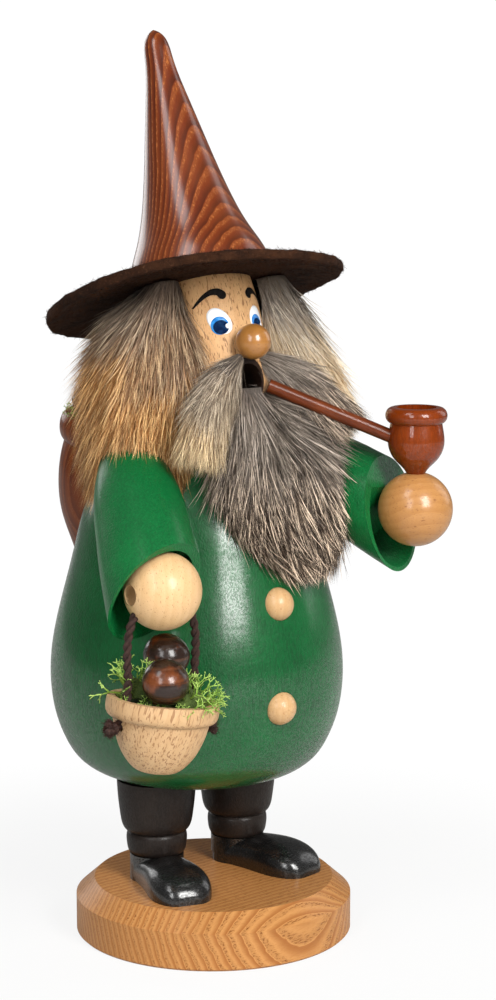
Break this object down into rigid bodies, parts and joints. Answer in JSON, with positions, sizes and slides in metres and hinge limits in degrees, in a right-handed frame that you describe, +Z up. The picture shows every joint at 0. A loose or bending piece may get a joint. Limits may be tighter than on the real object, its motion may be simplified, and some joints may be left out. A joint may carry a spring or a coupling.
{
  "type": "incense smoker figure",
  "caption": "Turned wooden incense smoker: a bearded gnome whose coat lifts off an ember tray, with a pipe, a basket swinging on a cord, and a backpack.",
  "frame": {"origin": "centre of the base plate's flat underside", "axes": "+Z up; the figure faces -Y; its right hand, with the basket, is at -X and its left hand, with the pipe, at +X"},
  "size_m": [0.1068, 0.1162, 0.2507],
  "materials": {
    "ash_base": "satin",
    "beech": "satin",
    "beech_nose": "gloss",
    "green_stain": "gloss",
    "brown_stain": "satin",
    "grey_stain": "satin",
    "black_lacquer": "gloss",
    "red_brown": "gloss",
    "felt": "matt",
    "fur_mixed": "matt",
    "moss": "matt",
    "cord_brown": "matt",
    "cap_brown": "gloss",
    "sheet_steel": "satin"
  },
  "bodies": {
    "stand": {"base_plate": "ash_base", "leg_right": "grey_stain", "leg_left": "grey_stain", "boot_right": "black_lacquer", "boot_left": "black_lacquer", "hip_plug": "beech", "ember_tray": "sheet_steel", "tray_nail": "sheet_steel"},
    "figure": {"coat": "green_stain", "button_upper": "beech", "button_lower": "beech", "head": "beech", "nose": "beech_nose", "hat_brim": "felt", "hat_crown": "brown_stain", "hat_dowel": "beech", "sleeve_right": "green_stain", "sleeve_left": "green_stain", "shoulder_dowel_right": "beech", "shoulder_dowel_left": "beech", "hand_right": "beech", "hand_left": "beech", "hand_dowel_right": "beech", "hand_dowel_left": "beech", "pipe_bowl": "red_brown", "pipe_stem": "red_brown", "pipe_dowel": "beech", "backpack": "red_brown", "backpack_dowel": "beech", "backpack_mushroom": "cap_brown", "backpack_moss": "moss", "moustache_right": "fur_mixed", "moustache_left": "fur_mixed", "hair": "fur_mixed", "beard": "fur_mixed"},
    "basket": {"basket": "beech", "basket_cord": "cord_brown", "mushroom_front": "cap_brown", "mushroom_back": "cap_brown", "basket_moss": "moss"}
  },
  "joints": [
    {"name": "coat_lift", "type": "slide", "parent": "stand", "child": "figure", "axis": [0, 0, 1], "range_m": [0, 0.06]},
    {"name": "basket_swing", "type": "hinge", "parent": "figure", "child": "basket", "pos_m": [-0.0392, -0.0348, 0.10545], "axis": [-1, 0, 0], "range_deg": [-4, 50]}
  ]
}
